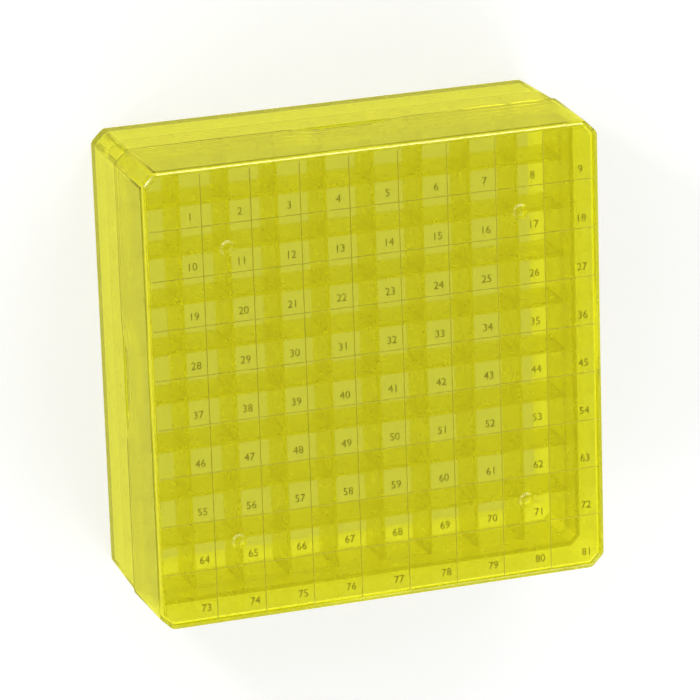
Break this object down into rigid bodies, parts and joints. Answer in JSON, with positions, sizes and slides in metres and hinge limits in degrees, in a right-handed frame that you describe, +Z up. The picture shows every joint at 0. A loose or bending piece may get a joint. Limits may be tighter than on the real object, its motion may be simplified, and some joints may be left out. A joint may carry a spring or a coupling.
{
  "type": "cryogenic storage box",
  "caption": "Square translucent plastic box for freezing vials: a shallow tray, a divider insert that forms a grid of cells, and a deep lift-off lid with cell lines.",
  "frame": {"origin": "centre of the underside, on the surface that the closed box stands on", "axes": "+Z up through the lid, X and Y along the sides of the box"},
  "size_m": [0.133, 0.133, 0.052],
  "materials": {
    "tray_plastic": "clear yellow polycarbonate, glossy",
    "insert_plastic": "clear yellow polycarbonate, glossy",
    "divider_plastic": "clear yellow polycarbonate, glossy",
    "lid_plastic": "clear yellow polycarbonate, glossy"
  },
  "bodies": {
    "tray": {"base_tray": "tray_plastic", "divider_collar": "insert_plastic", "row_divider_1": "divider_plastic", "row_divider_2": "divider_plastic", "row_divider_3": "divider_plastic", "row_divider_4": "divider_plastic", "row_divider_5": "divider_plastic", "row_divider_6": "divider_plastic", "row_divider_7": "divider_plastic", "row_divider_8": "divider_plastic", "column_divider_1": "divider_plastic", "column_divider_2": "divider_plastic", "column_divider_3": "divider_plastic", "column_divider_4": "divider_plastic", "column_divider_5": "divider_plastic", "column_divider_6": "divider_plastic", "column_divider_7": "divider_plastic", "column_divider_8": "divider_plastic"},
    "lid": {"lid": "lid_plastic"}
  },
  "joints": [
    {"name": "lid_lift", "type": "slide", "parent": "tray", "child": "lid", "axis": [0, 0, 1], "range_m": [0, 0.06]}
  ]
}
